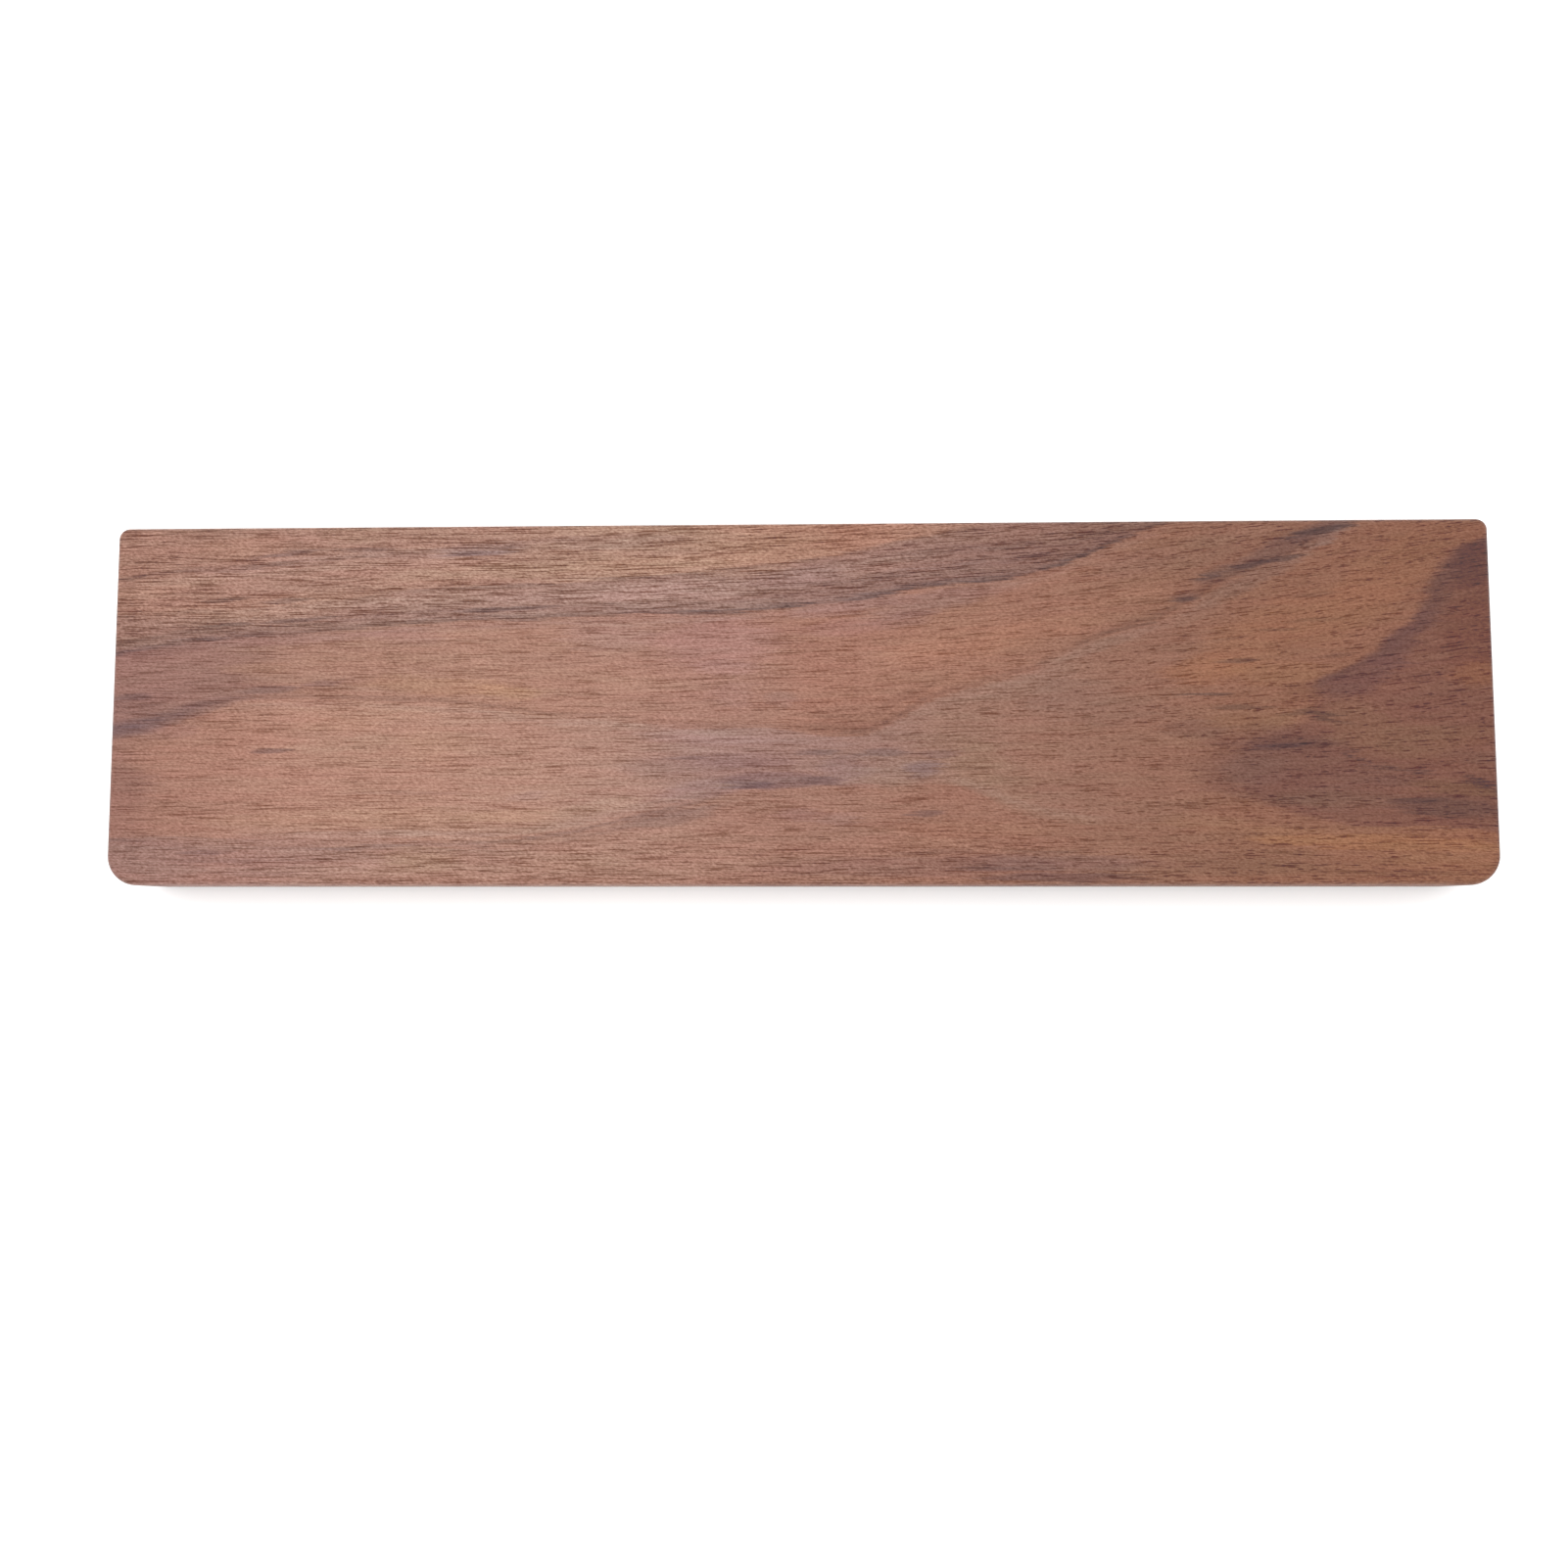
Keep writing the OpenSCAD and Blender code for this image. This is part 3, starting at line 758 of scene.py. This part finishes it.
# Pores are stretched cells. Columns: cells per mm along and across the grain,
# start and end of the cell's fade, start and end of the density gate, seed.
PORES = {
    "long": (0.072, 3.1, 0.29, 0.42, 0.65, 0.78, 0.0),
    "mid": (0.14, 3.3, 0.29, 0.43, 0.63, 0.78, 31.0),
    "short": (0.36, 3.1, 0.26, 0.46, 0.58, 0.78, 57.0),
    "hair": (0.048, 2.9, 0.24, 0.42, 0.70, 0.80, 83.0),
}


def zone_group():
    """Lays one soft ellipse of colour. Its axes are a = ax x + ay y + a0 and
    b = bx x + by y + b0; k is its strength."""
    graph, given = new_group("zone", ["x", "y", "wobble", "ax", "ay", "a0", "bx", "by", "b0",
                                      "core", "k"], ["tint"])
    a = given["y"].muladd(given["ay"], given["a0"])
    a = given["x"].muladd(given["ax"], a)
    b = given["y"].muladd(given["by"], given["b0"])
    b = given["x"].muladd(given["bx"], b)
    distance = a.muladd(a, b * b) + given["wobble"]
    factor = distance.ramp(given["core"], 1.0, to=(given["k"], 0.0))
    graph.node("NodeGroupOutput", {"col": graph.mix(factor, given["col"], given["tint"])})
    return graph.tree


def streak_group():
    """Lays a streak along a line: s is the distance from the line, and the
    streak of strength k fades out over dn in front of it and up behind it."""
    graph, given = new_group("streak", ["s", "dn", "up", "k", "grain"], ["tint"])
    away = given["s"]
    factor = away.ramp(given["dn"], 0.0) * away.ramp(0.0, given["up"], to=(1.0, 0.0))
    factor = factor * given["k"] * given["grain"]
    graph.node("NodeGroupOutput", {"col": graph.mix(factor, given["col"], given["tint"])})
    return graph.tree


def figure_group(name, zones, zone_tree, gain):
    """A node group that lays a list of zones in turn."""
    graph, given = new_group(name, ["x", "y", "wobble"])
    color = given["col"]
    for x, y, half_length, half_width, turn, tint, strength, *core in zones:
        cos, sin = math.cos(math.radians(turn)), math.sin(math.radians(turn))
        color = graph.group(
            zone_tree, col=color, x=given["x"], y=given["y"], wobble=given["wobble"],
            ax=cos / half_length, ay=sin / half_length, a0=-(x * cos + y * sin) / half_length,
            bx=-sin / half_width, by=cos / half_width, b0=(x * sin - y * cos) / half_width,
            core=core[0] if core else ZONE_CORE, k=strength * gain, tint=lin(tint))
    graph.node("NodeGroupOutput", {"col": color})
    return graph.tree


def station(x):
    return (x - FIGURE_LEFT) / FIGURE_LENGTH


class Walnut(Graph):
    """Plain-sawn walnut. Growth lines part the wood into bands of colour;
    streaks follow the lines, and pores and fibres run along the board."""

    AXIS_Y = -12.0    # the line over the heart of the tree
    HEART_DEPTH = 74.0

    def __init__(self, tree):
        super().__init__(tree)
        coordinates = self.outputs("ShaderNodeTexCoord")
        self.normal_x, _, self.normal_z = self.xyz(coordinates["Normal"])
        self.x, plain_y, z = self.xyz(self.to_mm(coordinates["Object"]))
        # depth under the sloping top; going down moves a growth line outwards
        depth = (plain_y.muladd(math.tan(SLOPE), TOP_Z) - z).max(0.0)
        depth = self.depth = (depth - 0.25).max(0.0)
        self.y = plain_y * (80.0 / 79.0)
        off = self.from_axis = self.y - self.AXIS_Y
        lean = off / off.muladd(off, 140.0).sqrt()
        y = self.grain_y = self.y - lean * depth * 0.55
        x = self.grain_x = depth.muladd(0.9, self.x)

        # slow wander of the lines, and the fibres that fray every border
        self.wander = self.noise(self.vector(x * 0.022, y * 0.09, depth * 0.05),
                                 detail=3.0, roughness=0.55)
        slide = self.noise(self.vector(x * 0.05, y * 0.16 + 7.3, 3.1),
                           detail=2.0, roughness=0.5)
        hairy = self.noise(self.vector(x * 0.055, y * 1.5, depth * 0.8),
                           detail=4.0, roughness=0.68)
        self.strands = self.noise(self.vector(x * 0.10, y * 2.4 + 19.0, depth * 1.2),
                                  detail=3.0, roughness=0.68)
        self.gaps = self.noise(self.vector(x * 0.045 + 11.0, y * 0.22, 5.0),
                               detail=2.0, roughness=0.6)
        self.breaks = self.noise(self.vector(x * 0.07, y * 0.55, depth * 0.3),
                                 detail=3.0, roughness=0.6)
        self.fray = hairy - 0.5
        self.line_y = self.fray.muladd(3.4, (self.wander - 0.5).muladd(1.6, y))
        self.line_x = self.fray.muladd(14.0, (slide - 0.5).muladd(8.0, x))
        along = self.x.muladd(1.0 / FIGURE_LENGTH, 0.5)
        self.frayed_along = self.line_x.muladd(1.0 / FIGURE_LENGTH, 0.5)
        self.guides = {}
        for name, points in GUIDES.items():
            curve = self.curve(along, [(station(x), (y - GUIDE_LOW) / GUIDE_SPAN)
                                       for x, y in points])
            self.guides[name] = curve.muladd(GUIDE_SPAN, GUIDE_LOW)
        # 0 in the left part, 1 at the right-hand end
        self.right = self.x.ramp(-20.0, 110.0)

    def tint(self, factor, gain):
        """Multiplies the colour by an RGB gain, as far as factor says."""
        tinted = self.mix(1.0, self.color, (*gain, 1.0), "MULTIPLY")
        self.color = self.mix(factor, self.color, tinted)

    def lay_bands(self):
        for guide, soft_front, soft_rear, stops in BANDS:
            band = self.color_ramp(self.frayed_along, [(station(x), lin(c)) for x, c in stops])
            if guide is None:
                self.color = band
            else:
                behind = (self.line_y - self.guides[guide]).ramp(-soft_front, soft_rear)
                self.color = self.mix(behind, self.color, band)

    def lay_zones(self, tree, wobble):
        self.color = self.group(tree, col=self.color, x=self.line_x, y=self.line_y,
                                wobble=wobble)

    def lay_arrow(self):
        points = [((y - ARROW_Y_LOW) / ARROW_SPAN, (x - ARROW_X_LOW) / ARROW_SPAN)
                  for y, x in ARROW_EDGE]
        edge = self.curve(self.line_y.muladd(1.0 / ARROW_SPAN, 0.5), points)
        inside = self.fray.muladd(-7.0, self.line_x) - edge.muladd(ARROW_SPAN, ARROW_X_LOW)
        dark = self.mix(self.breaks.ramp(0.3, 0.7), lin((124, 83, 72)), lin((133, 92, 78)))
        self.color = self.mix(inside.ramp(-3.0, 2.6, to=(0.0, 0.95)), self.color, dark)
        rim = inside.ramp(-2.0, 1.0) * inside.ramp(1.0, 7.0, to=(1.0, 0.0))
        rim = rim * self.line_y.ramp(0.0, 4.0, to=(0.0, 0.55))
        self.color = self.mix(rim, self.color, lin((98, 70, 68)))

    def lay_streaks(self, tree):
        part = self.gaps.ramp(0.3, 0.55, to=(0.6, 1.0))
        for guide, offset, front, rear, tint, hair, strengths in STREAKS:
            strength = self.curve(self.frayed_along, [(station(x), v) for x, v in strengths])
            self.color = self.group(
                tree, col=self.color, s=self.line_y - self.guides[guide] - offset,
                dn=-front, up=rear, k=strength * STREAK_GAIN,
                grain=self.strands.ramp(0.40, 0.58, to=(1.0 - hair, 1.0)) * part,
                tint=lin(tint))

    def lay_rings(self):
        """Light and dark lines that follow the growth lines."""
        y, rear, front = self.line_y, self.guides["eye_rear"], self.guides["eye_front"]
        dark = self.guides["dark"]
        eye_span = (rear - front).max(6.0)
        middle_span = (dark - rear).max(4.0)
        growth = (y - front).min(0.0)
        growth = ((rear - y) / eye_span).clamp().muladd(-24.0, growth)
        growth = ((y - rear) / middle_span).clamp().muladd(18.0, growth)
        growth = growth + (y - dark).max(0.0)
        broad = self.noise(self.vector(self.grain_x * 0.013, growth * 0.55, 2.0),
                           detail=3.0, roughness=0.6)
        narrow = self.noise(self.vector(self.grain_x * 0.03, growth * 1.7, 7.0),
                            detail=3.0, roughness=0.65)
        rings = (broad - 0.5) * 0.42 + (narrow - 0.5) * 1.0
        self.rings = rings * self.right.between(0.40, 0.26)
        self.tint((self.rings * 4.0).clamp(), (1.17, 1.22, 1.24))
        self.tint((self.rings * -4.0).clamp(), (0.84, 0.79, 0.77))

    def add_fibres(self):
        """Long, fine streaks of lighter and darker fibre; sets the tone."""
        reach = (self.x + 60.0).max(0.0)
        rise = reach * reach * 0.00033
        y = self.grain_y + (self.wander - 0.5) * 1.5
        y = self.fibre_y = y - rise * self.y.ramp(-34.0, 30.0)

        def fibre(shear, along, across, detail, roughness):
            place = self.vector(y.muladd(shear, self.x * along), y * across,
                                self.depth * across)
            return self.noise(place, detail, roughness)

        self.broad = fibre(shear=0.3, along=0.030, across=0.75, detail=4.0, roughness=0.62)
        self.fine = fibre(shear=1.1, along=0.080, across=3.0, detail=4.0, roughness=0.72)
        self.speck = fibre(shear=0.9, along=1.3, across=2.6, detail=3.0, roughness=0.6)
        # the wood is coarser beside the keyboard, and a little so at the front
        behind_dark = (self.line_y - self.guides["dark"]).ramp(-2.0, 2.5)
        busy = behind_dark.max(self.y.ramp(-25.0, -34.0) * self.right.between(0.65, 0.45))
        self.busy = busy.max(self.y.ramp(22.0, 36.0, to=(0.0, 0.45)))
        contrast = (self.fine - 0.5) * self.right.between(1.66, 0.98)
        contrast = (self.speck - 0.5).muladd(self.right.between(2.00, 1.60), contrast)
        tone = (self.broad - 0.5).muladd(0.06, 0.025)
        self.tone = contrast.muladd(self.busy.muladd(0.25, 1.0), tone)

        # a drift between pinker and yellower brown
        drift = self.noise(self.vector(self.x * 0.045, y * 0.42, self.depth * 0.3),
                           detail=3.0, roughness=0.65)
        warm = drift.ramp(0.36, 0.64)
        self.tint(warm * 0.45, (1.035, 0.97, 0.99))
        self.tint((1.0 - warm) * 0.45, (0.965, 1.015, 1.0))

    def pores(self, density, along, across, fade_start, fade_end, gate_start, gate_end, seed):
        distance, cell = self.voronoi(self.vector(
            self.x * along + seed, self.fibre_y * across, self.depth * across))
        red, green, _ = self.xyz(cell)
        size = green.muladd(0.5, 0.5)
        mark = (distance / size).ramp(fade_start, fade_end, to=(1.0, 0.0))
        return mark * red.muladd(0.5, density * 0.9).ramp(gate_start, gate_end)

    def add_pores(self):
        """Short dark furrows along the fibres, cut across on the end faces."""
        density = self.noise(self.vector(self.x * 0.035, self.fibre_y * 0.28,
                                         self.depth * 0.28), detail=3.0, roughness=0.6)
        density = self.rings.muladd(-1.4, self.busy.muladd(0.10, density))
        behind = self.line_y - self.guides["dark"]
        hair = behind.ramp(-1.5, 0.5) * behind.ramp(4.0, 12.0, to=(1.0, 0.0))
        density = hair.muladd(0.07, density)
        kinds = {name: self.pores(density, *row) for name, row in PORES.items()}
        long = kinds["long"] * self.right.between(1.0, 0.35).max(hair)
        short = kinds["short"] * self.right.between(0.4, 1.0)
        self.pore = long.max(kinds["mid"]).max(short.max(kinds["hair"] * self.busy))
        strength = self.busy.muladd(0.34, self.right.between(0.60, 0.74))
        self.tint(self.pore * strength, (0.458, 0.35, 0.30))
        self.color = self.vector_math("MULTIPLY", self.color, self.vector(
            *(self.tone.muladd(gain, 1.0) for gain in (0.80, 1.06, 1.20))))

    def darken_ends(self):
        """End grain is darker, and shows the rings as arcs."""
        across = self.from_axis * self.from_axis
        radius = (across + self.math("POWER", self.HEART_DEPTH - self.depth, 2.0)).sqrt()
        ring = self.math("FRACT", (radius + self.wander * 2.4) * 0.28)
        ring = ring.ramp(0.0, 0.75) * ring.ramp(0.86, 1.0, to=(1.0, 0.0))
        grain = self.mix(1.0, self.color, (0.80, 0.76, 0.74, 1.0), "MULTIPLY")
        grain = self.mix(ring * 0.4, grain, lin((82, 55, 46)))
        self.color = self.mix(self.normal_x.abs().ramp(0.55, 0.95), self.color, grain)

    def paint_edge_shade(self):
        # painted shade: the tilted band of the round-over is darkened in colour all round, standing
        # in for the shade on its steeper part
        edge = (self.depth - 0.55).abs().ramp(0.0, 0.75, to=(1.0, 0.0))
        edge = edge * self.normal_z.ramp(0.2, 0.6)
        self.edge = edge * self.normal_z.ramp(0.9, 0.995, to=(1.0, 0.0))
        self.tint(self.edge * 0.22, (0.82, 0.80, 0.80))

    def finish(self):
        # from the colour seen to the colour of the wood under even light, less
        # the thin gloss of the oil
        for operation, amount in (("MULTIPLY", (0.626, 0.593, 0.574)),
                                  ("SUBTRACT", (0.026, 0.026, 0.026)),
                                  ("MAXIMUM", (0.004, 0.003, 0.003))):
            self.color = self.vector_math(operation, self.color, amount)
        roughness = 0.50 + (self.broad - 0.5) * 0.22
        roughness = roughness + self.pore * 0.25 - self.edge * 0.08
        roughness = (roughness + (self.speck - 0.5) * 0.15).clamp()
        height = (self.fine - 0.5) * 0.22 - self.pore
        height = height + (self.speck - 0.5) * 0.25
        self.surface(self.color, roughness, ior=1.47, bump=(height, 0.55, 0.00010))


def walnut_material():
    zone_tree, streak_tree = zone_group(), streak_group()
    upper, eye, fan, point, dashes = (
        figure_group("figure_" + name, zones, zone_tree, gain) for name, zones, gain in (
            ("upper", ZONES_UPPER, 0.60), ("eye", ZONES_EYE, 0.60), ("fan", ZONES_FAN, 0.75),
            ("point", ZONES_POINT, 0.78), ("dashes", DASHES, 0.72)))
    material, wood = new_material("walnut_oiled", Walnut)
    wood.lay_bands()
    wobble = wood.breaks.muladd(1.0, -0.5)
    for tree in (upper, eye, fan):
        wood.lay_zones(tree, wobble)
    wood.lay_arrow()
    # these small marks are only skin deep
    wood.lay_zones(point, wood.depth.muladd(0.25, wobble))
    wood.lay_streaks(streak_tree)
    wood.lay_zones(dashes, wood.depth.muladd(0.3, wobble * 0.6))
    wood.lay_rings()
    wood.add_fibres()
    wood.add_pores()
    wood.darken_ends()
    wood.paint_edge_shade()
    wood.finish()
    return material


# ---------------------------------------------------------------- other materials
def rubber_material():
    material, graph = new_material("foot_rubber")
    place = graph.to_mm(graph.outputs("ShaderNodeTexCoord")["Object"])
    cloud = graph.noise(place, scale=0.35, detail=3.0, roughness=0.6)
    fine = graph.noise(place, scale=5.5, detail=3.0, roughness=0.6)
    cell, _ = graph.voronoi(place, scale=4.2)
    color = graph.color_ramp(cloud, [(0.25, lin((30, 30, 32))), (0.55, lin((38, 38, 40))),
                                     (0.8, lin((50, 49, 50)))])
    dust = fine.ramp(0.62, 0.78, to=(0.0, 0.35))
    color = graph.mix(dust, color, lin((92, 88, 84)))
    graph.surface(color, 0.72 + (fine - 0.5) * 0.3,
                  bump=(cell * 0.6 + fine * 0.4, 0.5, 0.00006))
    return material


def adhesive_material():
    material, graph = new_material("adhesive_film")
    place = graph.to_mm(graph.outputs("ShaderNodeTexCoord")["Object"])
    cloud = graph.noise(place, scale=0.8, detail=3.0, roughness=0.55)
    fibre = graph.noise(graph.vector_math("MULTIPLY", place, (0.9, 6.0, 6.0)),
                        detail=3.0, roughness=0.6)
    color = graph.color_ramp(cloud, [(0.3, lin((206, 200, 186))), (0.7, lin((226, 222, 210)))])
    color = graph.mix(fibre.ramp(0.5, 0.75, to=(0.0, 0.35)), color, lin((188, 180, 164)))
    graph.surface(color, 0.45 + (fibre - 0.5) * 0.3, bump=(fibre, 0.4, 0.00003))
    return material


def floor_material():
    material, graph = new_material("studio_floor")
    soft = graph.noise(graph.outputs("ShaderNodeTexCoord")["Object"],
                       scale=3.0, detail=2.0, roughness=0.5)
    color = graph.color_ramp(soft, [(0.3, (0.93, 0.93, 0.93, 1)), (0.7, (0.95, 0.95, 0.95, 1))])
    graph.surface(color, roughness=0.9, specular=0.1)
    return material


# ---------------------------------------------------------------- pieces
def link_object(name, data):
    item = bpy.data.objects.new(name, data)
    bpy.context.scene.collection.objects.link(item)
    return item


def build_board():
    data = board_mesh()
    smooth_by_angle(data, degrees=40)
    board = link_object("walnut_board", data)
    data.materials.append(walnut_material())
    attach(board, "root")
    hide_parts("board")


def dress_feet():
    rubber, adhesive = rubber_material(), adhesive_material()
    for names, material in ((FEET, rubber), (PADS, adhesive)):
        for name in names:
            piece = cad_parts[name]
            if piece.material_slots:
                for slot in piece.material_slots:
                    slot.material = material
            else:
                piece.data.materials.append(material)


# ---------------------------------------------------------------- stage, in metres
def build_floor(half_size):
    data = bpy.data.meshes.new("floor")
    corners = [(x * half_size, y * half_size, 0) for x, y in ((-1, -1), (1, -1), (1, 1), (-1, 1))]
    data.from_pydata(corners, [], [(0, 1, 2, 3)])
    data.update()
    floor = link_object("floor", data)
    data.materials.append(floor_material())


def build_world(strength):
    world = bpy.data.worlds.new("studio")
    bpy.context.scene.world = world
    world.use_nodes = True
    background = world.node_tree.nodes["Background"]
    background.inputs[0].default_value = (1.0, 1.0, 1.0, 1.0)
    background.inputs[1].default_value = strength


def build_key_light(place, size, power):
    """A square light aimed at the origin."""
    light = bpy.data.lights.new("key", "AREA")
    light.shape = "RECTANGLE"
    light.size = light.size_y = size
    light.energy = power
    light.color = (1, 1, 1)
    key = link_object("key", light)
    key.location = place
    key.rotation_euler = (-Vector(place)).to_track_quat("-Z", "Y").to_euler()


def build_camera(place_mm, right, up, lens):
    """A camera looking down; right and up are squared to each other."""
    camera = bpy.data.cameras.new("camera")
    camera.sensor_width = 36.0
    camera.lens = lens
    camera.clip_start = 0.01
    camera.clip_end = 20.0
    item = link_object("camera", camera)
    right = Vector(right).normalized()
    back = right.cross(Vector(up).normalized()).normalized()
    up = back.cross(right).normalized()
    matrix = Matrix((right, up, back)).transposed().to_4x4()
    matrix.translation = Vector(place_mm) * MM
    item.matrix_world = matrix
    bpy.context.scene.camera = item


build_board()
dress_feet()
build_floor(half_size=3.0)
build_world(strength=1.35)
build_key_light(place=(-0.25, 0.30, 1.10), size=1.0, power=5.0)
build_camera(place_mm=(3.463, -45.768, 258.329), right=(0.9997329, 0.00035, -0.0231097),
             up=(0.0023014, 0.9934087, 0.1146034), lens=25.9937539)

bpy.context.scene.view_settings.view_transform = "Standard"
bpy.context.scene.view_settings.look = "None"
